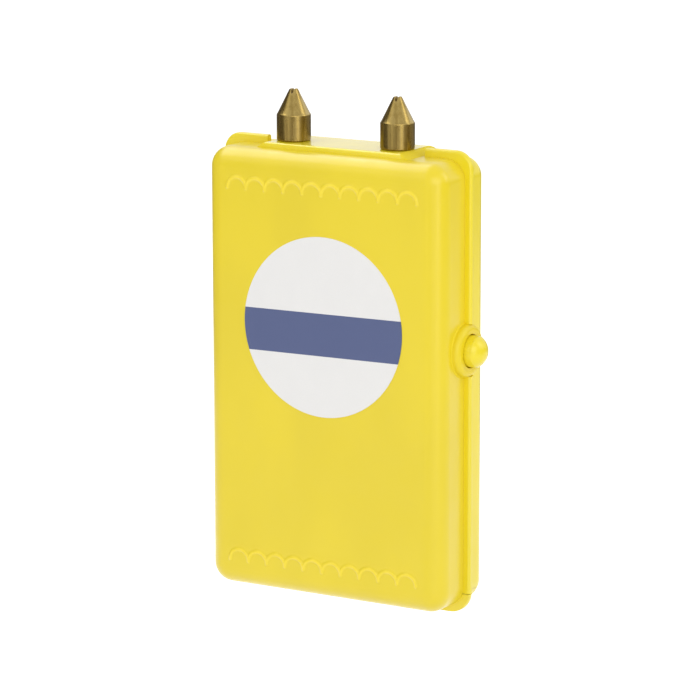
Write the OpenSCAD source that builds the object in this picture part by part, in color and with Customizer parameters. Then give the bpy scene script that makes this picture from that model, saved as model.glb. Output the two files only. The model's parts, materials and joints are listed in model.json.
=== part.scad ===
// Hand-held livestock prodder: a two-part moulded case with a proud rim, a pair of pointed electrodes on an
// insulating block, a sprung push button on the side and a slide-off cover over the cells at the back.
// Millimetres. X to the button side, Y to the back, Z up to the electrodes.
// The origin is the centre of the flat back of the case.

/* [Case] */
// Room on each side of the battery bay for the screw posts
side_room = 5.6; // [5.2:0.1:8]
// Height of the compartment above the battery bay
head_room = 67.4; // [64:0.2:80]
// Depth of the case from its front face to its back
case_d = 27.5; // [26:0.5:34]
// Rounding of the front and rear edges
edge_r = 5.7; // [4.5:0.1:6.5]
// How much larger the corner radius is than the edge rounding
corner_extra = 0.3; // [0.2:0.1:2]
// Thickness of the shell walls
wall = 2; // [1.6:0.1:2.4]

/* [Rim] */
// How far the rim stands out past the sides of the case
rim_step = 2; // [1:0.1:3]
// How much further the rim stands out at the top
rim_top_extra = 0.5; // [0:0.1:1]
// How much larger the rim's corner radius is than that of the case
rim_corner_extra = 0.5; // [0:0.1:2]
// Thickness of the rim, from the parting line to the back
rim_t = 2.2; // [1.8:0.1:3]
// Rounding of the rim's two edges
rim_r = 0.8; // [0.3:0.1:0.85]

/* [Scallop beads] */
// Number of arches in a row
scallop_count = 10; // [6:1:14]
// Distance from the side of the case to the end of a row
scallop_side_margin = 7.9; // [7:0.1:14]
// Distance from the end of the case to a row
scallop_end_margin = 8.2; // [7:0.1:14]
// Width of a bead
bead_w = 0.9; // [0.5:0.1:1.4]
// Height of a bead above the front face
bead_h = 0.4; // [0.2:0.1:0.8]

/* [Label] */
// Diameter of the round label
label_d = 52.8; // [40:0.2:60]
// Thickness of the label
label_t = 0.2; // [0.1:0.05:0.4]
// Distance of the label's centre to the button side of the case's middle
label_x = 0.5; // [0:0.1:3]
// Height of the label's centre above the middle of the case
label_z = 15.6; // [5:0.2:22]

/* [Electrodes] */
// Diameter of an electrode
post_d = 10; // [8:0.2:12]
// Distance between the two electrode axes
post_spread = 34.8; // [30:0.2:40]
// Height of the straight part of an electrode
post_h = 8; // [5:0.1:10]
// Height of the cone above it
cone_h = 7; // [5:0.1:10]
// Diameter of the cone's blunt tip
tip_d = 2.4; // [1.6:0.1:4]
// Width of the cross cut in the tip
tip_slot_w = 0.6; // [0.4:0.1:1]
// Depth of the cross cut in the tip
tip_slot_depth = 1.2; // [0.6:0.1:2]
// Turn of the cross cut from the line through both electrodes, in degrees
tip_turn = 14; // [0:1:89]
// Bevel at the foot and the shoulder of an electrode
post_bevel = 0.3; // [0.2:0.1:0.8]
// Diameter of the threaded stud below an electrode
stud_d = 4; // [3:0.1:5]
// Height of a stud nut
nut_h = 3.2; // [2.4:0.1:4]
// Width of a stud nut across its flats
nut_flats = 7; // [6.5:0.1:9]
// Thickness of a solder tag
tag_t = 0.6; // [0.4:0.1:1]
// Length of a solder tag from the stud to its end
tag_len = 9; // [7:0.2:12]

/* [Electrode block] */
// Length of the block's flat top
block_top_w = 46; // [44:0.5:54]
// Run of each sloped end of the block
block_slope = 2.4; // [1:0.1:4]
// Depth of the block over the flat top of the case
block_d = 15.6; // [12:0.2:16]
// How far the block's top reaches out over the rounded rear edge
block_back = 3; // [0:0.1:4]
// Height of the block's top above the case
block_rise = 1.65; // [1:0.05:3]
// Ledge of the block that rests on the top of the case
block_lip = 0.6; // [0.3:0.1:1.2]
// Thickness of the flange inside the case
block_flange_t = 2.8; // [2:0.1:4]
// How far the flange reaches past each end of the opening
block_flange_reach = 2.4; // [1:0.1:3]
// Gap between each end of the block and the rim
rim_gap = 1; // [0.2:0.1:2]

/* [Push button] */
// Diameter of the button
button_d = 9.2; // [8:0.1:11]
// How far the button stands out of its collar
button_out = 4.7; // [3.5:0.1:6]
// Height of the dome on the button's end
dome_h = 2.7; // [1.5:0.1:3.4]
// Travel of the button
button_travel = 2; // [1:0.1:2.5]
// Height of the button above the lower edge of the circuit board
button_z = 10.6; // [8:0.2:14]
// Diameter of the collar round the button
collar_d = 15.4; // [15:0.1:16]
// How far the collar stands out of the case
collar_out = 2.4; // [2:0.1:4]
// Rounding of the collar's edge
collar_round = 1.6; // [0.3:0.1:1.8]
// Diameter of the collar's neck in the side wall
collar_neck_d = 12.8; // [12.5:0.1:13.5]
// Thickness of the flanges inside the case on the collar and the button
button_flange_t = 1.2; // [0.8:0.1:1.8]
// Diameter of the button's flange
button_flange_d = 12.6; // [12:0.1:13.5]
// Diameter of the button's stem
stem_d = 4; // [3:0.1:4.5]

/* [Button spring] */
// Mean diameter of the spring
spring_d = 6.4; // [5.6:0.1:8]
// Diameter of the spring wire
spring_wire = 0.6; // [0.4:0.1:0.8]
// Number of turns
spring_turns = 5; // [3:1:6]

/* [Switch] */
// Length of the switch along the button axis
switch_l = 10; // [9:0.2:12]
// Height of the switch
switch_h = 7.2; // [7:0.2:10]
// Distance from the circuit board to the plunger axis
switch_axis = 5.65; // [5:0.05:6.4]
// Depth of the switch above its plunger axis
switch_back = 4.3; // [3.5:0.1:6]
// Diameter of the plunger
plunger_d = 3; // [2.4:0.1:3.6]
// How far the plunger stands out of the switch
plunger_out = 3; // [2.6:0.1:4]
// Length of the plunger inside the switch
plunger_in = 5; // [4:0.1:5.5]

/* [Circuit board] */
// Width of the board
board_w = 55.5; // [54:0.5:60]
// Height of the board
board_h = 42; // [40:0.5:43]
// Thickness of the board
board_t = 1.6; // [1:0.1:2]
// Distance of the board's middle to the side of the case's middle
board_shift = 3.75; // [3:0.25:6]
// Gap between the battery bay and the board
board_gap = 4; // [3.5:0.1:5]
// Distance of a board screw from the board's edges
board_screw_inset = 3; // [2.8:0.1:4]

/* [Transformer] */
// Width of the core
core_w = 24; // [22:0.5:26]
// Height of the core
core_h = 20; // [18:0.5:22]
// Thickness of the core
core_t = 8; // [7:0.2:9]
// Thickness of the core's outer legs and yokes
core_leg = 3; // [2.6:0.1:4.2]
// Width of the core's middle leg
core_mid = 6.4; // [6:0.2:8.4]
// Wall of the bobbin
bobbin_wall = 0.8; // [0.6:0.1:1]
// Thickness of the wound wire on the bobbin
winding_t = 2.4; // [2:0.1:2.6]

/* [Cells] */
// Diameter of a cell
cell_d = 14.5; // [14:0.1:15]
// Length of a cell with its raised end
cell_len = 50.5; // [48:0.5:52]
// Diameter of a cell's raised end
nub_d = 5.4; // [5:0.1:6]
// Height of a cell's raised end
nub_h = 1.2; // [1:0.1:1.6]
// Gap between neighbouring cells
cell_gap = 0.3; // [0.2:0.1:0.8]

/* [Battery bay] */
// Thickness of the bay's floor and ends
bay_wall = 1.4; // [1.2:0.1:2]
// Thickness of the bay's sides, which hold the cover's grooves
bay_side_wall = 2.2; // [2:0.1:3]
// Free height of a contact spring
contact_h = 3.6; // [3:0.1:5]
// Thickness of the contact metal
contact_t = 0.4; // [0.3:0.1:0.6]
// Width of a contact
contact_w = 8; // [6:0.2:10]
// Length of a contact's foot
contact_l = 9; // [8:0.2:11]
// Length of the part of a terminal above the bay
tab_l = 3; // [2:0.1:3.4]
// Width of that part
tab_w = 3; // [2:0.1:4]

/* [Battery cover] */
// Height of the cover's end above the bottom of the case
cap_h = 4.1; // [3.6:0.1:6]
// Gap all round the cover
cover_gap = 0.3; // [0.25:0.05:0.4]
// Thickness of the cover's tongues
tongue_t = 1.1; // [0.8:0.1:1.6]
// How far the tongues reach under the case wall
tongue_reach = 0.9; // [0.6:0.1:1.1]
// Width of the web that carries a tongue
tongue_web = 1.5; // [1:0.1:2]
// Number of grip grooves
grip_count = 6; // [3:1:9]
// Length of a grip groove
grip_l = 24; // [16:0.5:40]
// Width of a grip groove
grip_w = 1.4; // [1:0.1:2]
// Depth of a grip groove
grip_depth = 0.6; // [0.3:0.1:1]
// Distance between grip grooves
grip_pitch = 2.8; // [2.4:0.1:4]

/* [Screws] */
// Diameter of the case screws
screw_d = 2.6; // [2:0.1:3]
// Diameter of a case screw's head
screw_head_d = 5; // [4.2:0.1:5.4]
// Height of a case screw's head
screw_head_h = 1.8; // [1.4:0.1:2.4]
// Depth of the head's seat below the back of the case
screw_seat = 4; // [3.4:0.1:6]
// Length of thread in the front cover
screw_bite = 7; // [5:0.2:8.5]
// Height of the case screws above and below the middle
screw_z = 48; // [46:0.5:52]
// Diameter of a screw boss in the front cover
boss_d = 5.2; // [4.6:0.1:6]
// Diameter of the board screws
board_screw_d = 2; // [1.6:0.1:2.4]
// Diameter of a board screw's head
board_screw_head_d = 3.8; // [3:0.1:4.4]
// Height of a board screw's head
board_screw_head_h = 1.4; // [1:0.1:2]
// Diameter of the board's standoffs
standoff_d = 5; // [4.4:0.1:6]

/* [Hidden] */
$fn = 64;

// Overrun of every cut past the face it opens
overrun = 1;
// Free gap of a piece that drops into its seat
fit = 0.1;
// Running gap of the button in its collar
button_gap = 0.3;
// Gap between pieces that are pressed together by a spring
touch_gap = 0.2;
// Gap between a cell's end and its contact
contact_gap = 0.05;
// Gap between a cell and the floor or side of the bay
cell_room = 0.3;
// Gap between a cell and the cover
cell_back_gap = 0.4;
// Running gap of the plunger in the switch
plunger_gap = 0.1;
// Length of a stud that shows below its nut
stud_end = 1.6;
// Width of a rib between two cells
cell_rib_w = 1.6;
// Length of a locating tab along the wall
tab_run = 12;
// Thickness of a locating tab
tab_thick = 1.2;
// How far a locating tab reaches over the parting line
tab_reach = 1.6;
// Gap between a screw boss and the battery bay
boss_gap = 0.2;
// Thickness of the rib from a screw boss to the side wall
boss_rib_t = 1.6;
// Height of the locating tabs above and below the middle, as shares of half the case
tab_height_shares = [-0.42, 0.42];

yellow = [0.93, 0.80, 0.13];
brass = [0.66, 0.55, 0.30];
steel = [0.75, 0.76, 0.78];
black = [0.13, 0.13, 0.14];

// Case
cell_count = 4;
cell_pitch = cell_d + cell_gap;
bay_half_w = (cell_count * cell_pitch - cell_gap) / 2 + cell_room;
bay_out = bay_half_w + bay_side_wall;
case_w = 2 * (bay_out + side_room + wall);
bay_len = contact_t + cell_len + contact_h;
case_h = cap_h + bay_wall + bay_len + bay_wall + head_room + wall;
half_w = case_w / 2;
half_h = case_h / 2;
half_d = case_d / 2;
corner_r = edge_r + corner_extra;
parting_y = -half_d;
front_in = wall - case_d;
root = wall / 2;
far = case_w + case_h;

// Battery bay
cap_z = cap_h - half_h;
bay_bottom = cap_z + bay_wall;
bay_top = bay_bottom + bay_len;
bay_roof = bay_top + bay_wall;
cell_y = -wall - cell_back_gap - cell_d / 2;
bay_floor = cell_y - cell_d / 2 - cell_room;
cell_rib_h = cell_d / 2 + cell_room - contact_l / 2 - fit;
groove_half_w = bay_half_w + tongue_reach + cover_gap;
groove_y = -wall - 2 * cover_gap - tongue_t;

// Electrodes
block_top = half_h + block_rise;
block_w = block_top_w + 2 * block_slope;
block_neck_w = block_w - 2 * block_lip;
block_neck_d = block_d - 2 * block_lip;
flange_top = half_h - wall - fit;
flange_z = flange_top - block_flange_t;
tag_z = flange_z - tag_t;
stud_len = block_top - tag_z + nut_h + stud_end;
tag_r = nut_flats / 2;
tag_w = stud_d;

// Push button
collar_in = half_w - wall - fit - button_flange_t;
collar_bore_d = button_d + 2 * button_gap;
button_face = half_w + collar_out;
button_flange_x = collar_in - touch_gap - button_flange_t;
board_y = parting_y - switch_axis;
board_x = -board_shift;
switch_x = board_x + board_w / 2;
plunger_x = switch_x + plunger_out;
stem_x = plunger_x + touch_gap;
spring_x = switch_x + touch_gap + spring_wire / 2;
spring_end_x = button_flange_x - touch_gap - spring_wire / 2;

// Circuit board
board_z = bay_roof + board_gap;
board_mid_z = board_z + board_h / 2;
board_left = board_x - board_w / 2;
button_axis_z = board_z + button_z;
board_front = board_y - board_t;
standoff_h = board_front - front_in;
board_bite_share = 0.7;
board_screw_len = board_t + standoff_h * board_bite_share;

// Screws
post_d_tray = screw_head_d + wall;
screw_x = bay_out + boss_gap + boss_d / 2;
screw_len = half_d - screw_seat + screw_bite;

// Stands a shape drawn from the front, with its depth along z, on the parting line towards the front
module facing_front() {
    translate([0, parting_y, 0]) rotate([90, 0, 0]) children();
}

// The same towards the back
module facing_back() {
    translate([0, parting_y, 0]) mirror([0, 1, 0]) rotate([90, 0, 0]) children();
}

// Turns a shape drawn along z to lie along the button axis
module along_button() {
    translate([0, parting_y, button_axis_z]) rotate([0, 90, 0]) children();
}

// Turns a shape drawn along z to point to the back
module to_back() {
    rotate([-90, 0, 0]) children();
}

// Cube between two corners
module box(low, high) {
    translate(low) cube(high - low);
}

// Edge of a shell: square at the parting line and rounded at the far side
module shell_edge(r, depth, round_r) {
    square([r - round_r, depth]);
    square([r, depth - round_r]);
    translate([r - round_r, depth - round_r]) intersection() {
        circle(r = round_r);
        square(round_r);
    }
}

// Edge of a bead: rounded at both sides
module bead_edge(r, depth, round_r) {
    square([r - round_r, depth]);
    translate([0, round_r]) square([r, depth - 2 * round_r]);
    for (z = [round_r, depth - round_r]) {
        translate([r - round_r, z]) circle(r = round_r);
    }
}

// Block with a rounded-corner outline, whose edge all round is the profile given as the child
module edged_block(w, h, r, depth) {
    flat_w = w - 2 * r;
    flat_h = h - 2 * r;
    translate([-flat_w / 2, -flat_h / 2, 0]) cube([flat_w, flat_h, depth]);
    for (turn = [0, 1]) mirror([turn, 0, 0]) {
        translate([flat_w / 2, flat_h / 2, 0]) rotate([90, 0, 0]) linear_extrude(flat_h) children();
    }
    for (turn = [0, 1]) mirror([0, turn, 0]) rotate([0, 0, 90]) {
        translate([flat_h / 2, flat_w / 2, 0]) rotate([90, 0, 0]) linear_extrude(flat_w) children();
    }
    for (across = [0, 1], up = [0, 1]) mirror([across, 0, 0]) mirror([0, up, 0]) {
        translate([flat_w / 2, flat_h / 2, 0]) rotate_extrude(angle = 90) children();
    }
}

// One half of the case as a full block, set in from the outer face
module half_block(inset, extra) {
    r = corner_r - inset;
    depth = half_d - inset + extra;
    translate([0, 0, -extra]) edged_block(case_w - 2 * inset, case_h - 2 * inset, r, depth) {
        shell_edge(r, depth, edge_r - inset);
    }
}

// Plate whose edge is the proud rim
module rim_block() {
    r = corner_r + rim_corner_extra;
    rim_h = case_h + 2 * rim_step + rim_top_extra;
    translate([0, rim_top_extra / 2, 0]) edged_block(case_w + 2 * rim_step, rim_h, r, rim_t) {
        bead_edge(r, rim_t, rim_r);
    }
}

// Outside of the rear half with its rim
module rear_outside() {
    facing_back() half_block(0, 0);
    facing_back() rim_block();
}

// Opening for the electrode block's neck, shared by both halves
module block_opening() {
    w = block_neck_w / 2 + fit;
    d = block_neck_d / 2 + fit;
    box([-w, parting_y - d, half_h - wall - overrun], [w, parting_y + d, half_h + overrun]);
}

// Opening for the collar's neck, shared by both halves
module collar_opening() {
    along_button() translate([0, 0, half_w - wall - overrun]) {
        cylinder(d = collar_neck_d + 2 * fit, h = wall + 2 * overrun);
    }
}

// Puts its children at the four case screws
module at_case_screws() {
    for (turn = [0, 1], z = [-screw_z, screw_z]) mirror([turn, 0, 0]) translate([screw_x, 0, z]) children();
}

// Puts its children at the four board screws
module at_board_screws() {
    x = board_w / 2 - board_screw_inset;
    z = board_h / 2 - board_screw_inset;
    for (across = [-x, x], up = [-z, z]) translate([board_x + across, 0, board_mid_z + up]) children();
}

// Row of arches drawn from the front, standing on its feet
module scallop_row() {
    pitch = (case_w - 2 * scallop_side_margin) / scallop_count;
    r = pitch / 2;
    outer = r + bead_w / 2;
    for (i = [0 : scallop_count - 1]) {
        translate([scallop_side_margin - half_w + r + i * pitch, 0]) intersection() {
            difference() {
                circle(r = outer);
                circle(r = r - bead_w / 2);
            }
            translate([-outer, 0]) square([2 * outer, outer]);
        }
    }
}

module scallops() {
    arch_r = (half_w - scallop_side_margin) / scallop_count;
    rows = [half_h - scallop_end_margin - arch_r, scallop_end_margin - half_h];
    facing_front() for (foot = rows) translate([0, foot, half_d - bead_h]) {
        linear_extrude(2 * bead_h) scallop_row();
    }
}

// Screw boss of the front cover with its rib to the side wall
module screw_boss() {
    translate([0, front_in - root, 0]) to_back() cylinder(d = boss_d, h = half_d - wall + root);
    box([0, front_in - root, -boss_rib_t / 2], [half_w - screw_x, parting_y, boss_rib_t / 2]);
}

module front_cover() {
    color(yellow) difference() {
        union() {
            difference() {
                facing_front() half_block(0, 0);
                facing_front() half_block(wall, overrun);
            }
            scallops();
            intersection() {
                at_case_screws() screw_boss();
                facing_front() half_block(root, 0);
            }
            at_board_screws() translate([0, front_in - root, 0]) {
                to_back() cylinder(d = standoff_d, h = standoff_h + root);
            }
        }
        block_opening();
        collar_opening();
        at_case_screws() translate([0, parting_y - screw_bite - overrun, 0]) {
            to_back() cylinder(d = screw_d, h = screw_bite + 2 * overrun);
        }
        at_board_screws() translate([0, front_in, 0]) {
            to_back() cylinder(d = board_screw_d, h = standoff_h + overrun);
        }
    }
}

// Walls of the battery bay with its bulkhead, filled
module bay_block() {
    box([-bay_out, bay_floor - bay_wall, cap_z], [bay_out, -root, bay_roof]);
    intersection() {
        facing_back() half_block(root, 0);
        box([-far, parting_y, cap_z], [far, 0, bay_bottom]);
    }
}

// Space of the battery bay, with its way out to the back and the grooves for the cover
module bay_space() {
    difference() {
        box([-bay_half_w, bay_floor, bay_bottom], [bay_half_w, overrun, bay_top]);
        for (i = [1 : cell_count - 1]) {
            x = (i - cell_count / 2) * cell_pitch;
            box([x - cell_rib_w / 2, bay_floor - overrun, bay_bottom - overrun],
                [x + cell_rib_w / 2, bay_floor + cell_rib_h, bay_top + overrun]);
        }
    }
    box([-bay_half_w, -wall - overrun, cap_z - overrun], [bay_half_w, overrun, bay_top]);
    box([-groove_half_w, groove_y, cap_z - overrun], [groove_half_w, -wall, bay_top]);
}

// Tabs that hold the two halves in line, inside the front cover's wall
module locating_tabs() {
    outer = half_w - wall - fit;
    inner = outer - tab_thick;
    for (turn = [0, 1], share = tab_height_shares) mirror([turn, 0, 0]) {
        low = share * half_h - tab_run / 2;
        high = low + tab_run;
        box([inner, parting_y - tab_reach, low], [outer, parting_y, high]);
        box([inner, parting_y, low], [half_w - root, parting_y + tab_run / 2, high]);
    }
}

// Slots in the bay's roof for the two battery terminals
module tab_slots() {
    for (i = [0, cell_count - 1]) translate([cell_x(i), cell_y - contact_l / 2, bay_top]) {
        box([-tab_w / 2 - fit, -fit, -overrun], [tab_w / 2 + fit, contact_t + fit, bay_wall + overrun]);
    }
}

module rear_tray() {
    rim_end = block_w / 2 + rim_gap;
    rim_top = half_h + rim_step + rim_top_extra;
    color(yellow) difference() {
        union() {
            difference() {
                rear_outside();
                facing_back() half_block(wall, overrun);
            }
            bay_block();
            locating_tabs();
            intersection() {
                at_case_screws() translate([0, parting_y, 0]) to_back() cylinder(d = post_d_tray, h = half_d);
                facing_back() half_block(0, 0);
            }
        }
        bay_space();
        tab_slots();
        block_opening();
        collar_opening();
        box([-rim_end, parting_y - overrun, half_h], [rim_end, 0, rim_top + overrun]);
        along_button() translate([0, 0, half_w]) cylinder(d = collar_d + 2 * fit, h = rim_step + overrun);
        box([-far, parting_y - overrun, -far], [far, overrun, cap_z]);
        at_case_screws() translate([0, parting_y - overrun, 0]) {
            to_back() cylinder(d = screw_d + 2 * fit, h = half_d + overrun);
        }
        at_case_screws() translate([0, -screw_seat, 0]) {
            to_back() cylinder(d = screw_head_d + 2 * fit, h = screw_seat + overrun);
        }
    }
}

// Tongue on one side of the cover
module cover_tongue() {
    side = bay_half_w - cover_gap;
    low = -wall - cover_gap - tongue_t;
    foot = [side - tongue_web, low, cap_z - root];
    top = bay_top - cover_gap;
    box(foot, [side, -root, top]);
    box(foot, [bay_half_w + tongue_reach, low + tongue_t, top]);
}

module battery_cover() {
    side = bay_half_w - cover_gap;
    grip_z = bay_bottom + grip_l / 2;
    color(yellow) difference() {
        union() {
            difference() {
                intersection() {
                    rear_outside();
                    box([-far, parting_y + cover_gap, -far], [far, overrun, cap_z - cover_gap]);
                }
                facing_back() half_block(wall, overrun);
            }
            intersection() {
                facing_back() half_block(0, 0);
                box([-side, -wall, cap_z - wall - cover_gap], [side, overrun, bay_top - cover_gap]);
            }
            for (turn = [0, 1]) mirror([turn, 0, 0]) cover_tongue();
        }
        for (i = [0 : grip_count - 1]) translate([0, 0, grip_z + i * grip_pitch]) {
            box([-grip_l / 2, -grip_depth, -grip_w / 2], [grip_l / 2, overrun, grip_w / 2]);
        }
    }
}

module label() {
    color([0.95, 0.95, 0.96]) translate([label_x, -case_d - label_t, label_z]) {
        to_back() cylinder(d = label_d, h = label_t);
    }
}

module electrode_block() {
    top = block_top_w / 2;
    base = block_w / 2;
    rear = block_d / 2 + block_back;
    neck = [block_neck_w / 2, block_neck_d / 2];
    flange = neck + [block_flange_reach, 0];
    color(yellow) translate([0, parting_y, 0]) difference() {
        union() {
            translate([0, rear, 0]) rotate([90, 0, 0]) linear_extrude(rear + block_d / 2) {
                polygon([[-base, half_h], [base, half_h], [top, block_top], [-top, block_top]]);
            }
            box([-neck[0], -neck[1], flange_z], [neck[0], neck[1], half_h]);
            box([-flange[0], -flange[1], flange_z], [flange[0], flange[1], flange_top]);
        }
        for (x = [-post_spread / 2, post_spread / 2]) translate([x, 0, flange_z - overrun]) {
            cylinder(d = stud_d + 2 * fit, h = block_top - flange_z + 2 * overrun);
        }
    }
}

// One electrode with its stud, standing on the block
module electrode(x) {
    r = post_d / 2;
    stud_r = stud_d / 2;
    tip = post_h + cone_h;
    color(brass) translate([x, parting_y, block_top]) difference() {
        rotate_extrude() polygon([
            [0, -stud_len], [stud_r - post_bevel, -stud_len], [stud_r, post_bevel - stud_len], [stud_r, 0],
            [r - post_bevel, 0], [r, post_bevel], [r, post_h - post_bevel], [r - post_bevel, post_h],
            [tip_d / 2, tip], [0, tip]
        ]);
        for (turn = [tip_turn, tip_turn + 90]) rotate([0, 0, turn]) {
            box([-r, -tip_slot_w / 2, tip - tip_slot_depth], [r, tip_slot_w / 2, tip + overrun]);
        }
    }
}

module electrode_left() {
    electrode(-post_spread / 2);
}

module electrode_right() {
    electrode(post_spread / 2);
}

module electrode_nuts() {
    across_corners = nut_flats / cos(30);
    color(steel) for (x = [-post_spread / 2, post_spread / 2]) {
        translate([x, parting_y, tag_z - nut_h]) difference() {
            cylinder(d = across_corners, h = nut_h, $fn = 6);
            translate([0, 0, -overrun]) cylinder(d = stud_d + fit, h = nut_h + 2 * overrun);
        }
    }
}

module solder_tags() {
    color(steel) for (turn = [0, 1]) mirror([turn, 0, 0]) {
        translate([-post_spread / 2, parting_y, tag_z]) linear_extrude(tag_t) difference() {
            union() {
                circle(r = tag_r);
                translate([0, -tag_w / 2]) square([tag_len, tag_w]);
            }
            circle(d = stud_d + 2 * fit);
        }
    }
}

module button_collar() {
    r = collar_d / 2;
    neck_r = collar_neck_d / 2;
    color(yellow) along_button() rotate_extrude() difference() {
        union() {
            translate([0, half_w]) square([r, collar_out - collar_round]);
            translate([0, half_w]) square([r - collar_round, collar_out]);
            translate([r - collar_round, button_face - collar_round]) intersection() {
                circle(r = collar_round);
                square(collar_round);
            }
            translate([0, collar_in]) square([neck_r, half_w - collar_in]);
            translate([0, collar_in]) square([r - root, button_flange_t]);
        }
        translate([0, collar_in - overrun]) {
            square([collar_bore_d / 2, button_face - collar_in + 2 * overrun]);
        }
    }
}

module push_button() {
    r = button_d / 2;
    top = button_face + button_out;
    dome_r = (r * r + dome_h * dome_h) / (2 * dome_h);
    color(yellow) along_button() rotate_extrude() {
        translate([0, stem_x]) square([stem_d / 2, button_flange_x - stem_x + root]);
        translate([0, button_flange_x]) square([button_flange_d / 2, button_flange_t]);
        translate([0, button_flange_x]) square([r, top - dome_h - button_flange_x]);
        intersection() {
            translate([0, top - dome_r]) circle(r = dome_r);
            translate([0, top - dome_h]) square([r, dome_h]);
        }
    }
}

// Direction from one point of a route to another
function unit(v) = v / norm(v);

// Direction of a route at each of its points
function route_ways(p) = [for (i = [0 : len(p) - 1]) unit(p[min(i + 1, len(p) - 1)] - p[max(i - 1, 0)])];

// Points of a smooth curve through the points of a route
function smooth_route(p, steps) = [
    for (i = [0 : len(p) - 2], s = [0 : steps - 1]) smooth_point(p, i, s / steps),
    p[len(p) - 1]
];
function smooth_point(p, i, t) =
    let (a = p[max(i - 1, 0)], b = p[i], c = p[i + 1], d = p[min(i + 2, len(p) - 1)])
    b + ((c - a) * t + (2 * a - 5 * b + 4 * c - d) * t * t + (3 * b - a - 3 * c + d) * t * t * t) / 2;

// Tube of a given radius along a route; the side vector is never along the route
module tube(p, r, sides, side) {
    ways = route_ways(p);
    rings = [
        for (i = [0 : len(p) - 1])
            let (u = unit(cross(ways[i], side)), v = cross(ways[i], u))
            for (k = [0 : sides - 1]) p[i] + r * (cos(k * 360 / sides) * u + sin(k * 360 / sides) * v)
    ];
    last = len(p) - 1;
    walls = [
        for (i = [0 : last - 1], k = [0 : sides - 1])
            let (a = i * sides + k, b = i * sides + (k + 1) % sides)
            each [[a, b, b + sides], [a, b + sides, a + sides]]
    ];
    start = [for (k = [1 : sides - 2]) [0, k + 1, k]];
    end = [for (k = [1 : sides - 2]) [last * sides, last * sides + k, last * sides + k + 1]];
    polyhedron(rings, concat(walls, start, end));
}

// Points of the button spring, eight to a turn, along the button axis
spring_rings = 8;
spring_points = [
    for (i = [0 : spring_turns * spring_rings])
        let (turn = i * 360 / spring_rings, share = i / (spring_turns * spring_rings))
        [
            spring_x + share * (spring_end_x - spring_x),
            parting_y + spring_d / 2 * cos(turn),
            button_axis_z + spring_d / 2 * sin(turn)
        ]
];
spring_self_gap = min([
    for (i = [0 : len(spring_points) - 1], j = [i + spring_rings / 2 : len(spring_points) - 1])
        norm(spring_points[i] - spring_points[j])
]) - spring_wire;
echo(spring_self_gap = spring_self_gap);

module button_spring() {
    color(steel) tube(spring_points, spring_wire / 2, 6, [1, 0, 0]);
}

module switch_body() {
    bore_l = plunger_in + button_travel + touch_gap;
    color(black) difference() {
        box([switch_x - switch_l, board_y, button_axis_z - switch_h / 2],
            [switch_x, parting_y + switch_back, button_axis_z + switch_h / 2]);
        along_button() translate([0, 0, switch_x - bore_l]) {
            cylinder(d = plunger_d + 2 * plunger_gap, h = bore_l + overrun);
        }
    }
}

module switch_plunger() {
    color("firebrick") along_button() translate([0, 0, switch_x - plunger_in]) {
        cylinder(d = plunger_d, h = plunger_in + plunger_out);
    }
}

module circuit_board() {
    color([0.13, 0.40, 0.22]) difference() {
        translate([board_left, board_front, board_z]) cube([board_w, board_t, board_h]);
        at_board_screws() translate([0, board_front - overrun, 0]) {
            to_back() cylinder(d = board_screw_d + 2 * fit, h = board_t + 2 * overrun);
        }
    }
}

// Point at a height over the back of the board, from the board's lower left corner
function over_board(place, height) = [board_left + place[0], board_y + height, board_z + place[1]];

// Puts its children on the back of the board
module on_board(place) {
    translate(over_board(place, 0)) children();
}

// Places of the parts on the board, from its lower left corner
transformer_place = [15.6, 22];
capacitor_place = [15.5, 6.5];
transistor_place = [29.3, 5.5];
// First place in the row of small round parts, and their distance
axial_place = [35.4, 18];
axial_pitch = 3.6;
// The row has the resistors first, then the diodes
resistor_count = 3;
diode_count = 2;
// Ends of the battery leads on the board
positive_pad_place = [5, 9];
negative_pad_place = [37, 4];

bobbin_out = core_mid + 2 * (fit + bobbin_wall);
bobbin_deep = core_t + 2 * (fit + bobbin_wall);
winding_w = bobbin_out + 2 * winding_t;
winding_d = bobbin_deep + 2 * winding_t;
window_h = core_h - 2 * core_leg;
transformer_y = winding_d / 2 + fit;

// Plate of a bobbin or winding, drawn round the middle leg
module round_leg(w, d, low, high) {
    box([-w / 2, -d / 2, low], [w / 2, d / 2, high]);
}

module transformer_core() {
    window_w = (core_w - core_mid) / 2 - core_leg;
    color([0.25, 0.25, 0.27]) on_board(transformer_place) translate([0, transformer_y, 0]) difference() {
        round_leg(core_w, core_t, -core_h / 2, core_h / 2);
        for (turn = [0, 1]) mirror([turn, 0, 0]) {
            box([core_mid / 2, -core_t, -window_h / 2], [core_mid / 2 + window_w, core_t, window_h / 2]);
        }
    }
}

module transformer_bobbin() {
    low = fit - window_h / 2;
    color([0.86, 0.84, 0.78]) on_board(transformer_place) translate([0, transformer_y, 0]) difference() {
        union() {
            round_leg(bobbin_out, bobbin_deep, low, -low);
            round_leg(winding_w, winding_d + 2 * fit, low, low + bobbin_wall);
            round_leg(winding_w, winding_d + 2 * fit, -low - bobbin_wall, -low);
        }
        round_leg(core_mid + 2 * fit, core_t + 2 * fit, -core_h, core_h);
    }
}

module transformer_winding() {
    high = window_h / 2 - fit - bobbin_wall;
    color([0.72, 0.40, 0.20]) on_board(transformer_place) translate([0, transformer_y, 0]) difference() {
        round_leg(winding_w, winding_d, -high, high);
        round_leg(bobbin_out, bobbin_deep, -core_h, core_h);
    }
}

// Sizes of the smaller parts on the board
capacitor_size = [16, 12, 7];
transistor_size = [10, 4.4, 9];
transistor_tab_t = 1.4;
transistor_tab_h = 6;
diode_d = 2.8;
diode_l = 6;
resistor_d = 2.4;
resistor_l = 7;
wire_d = 0.8;
wire_run = 3;

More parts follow.
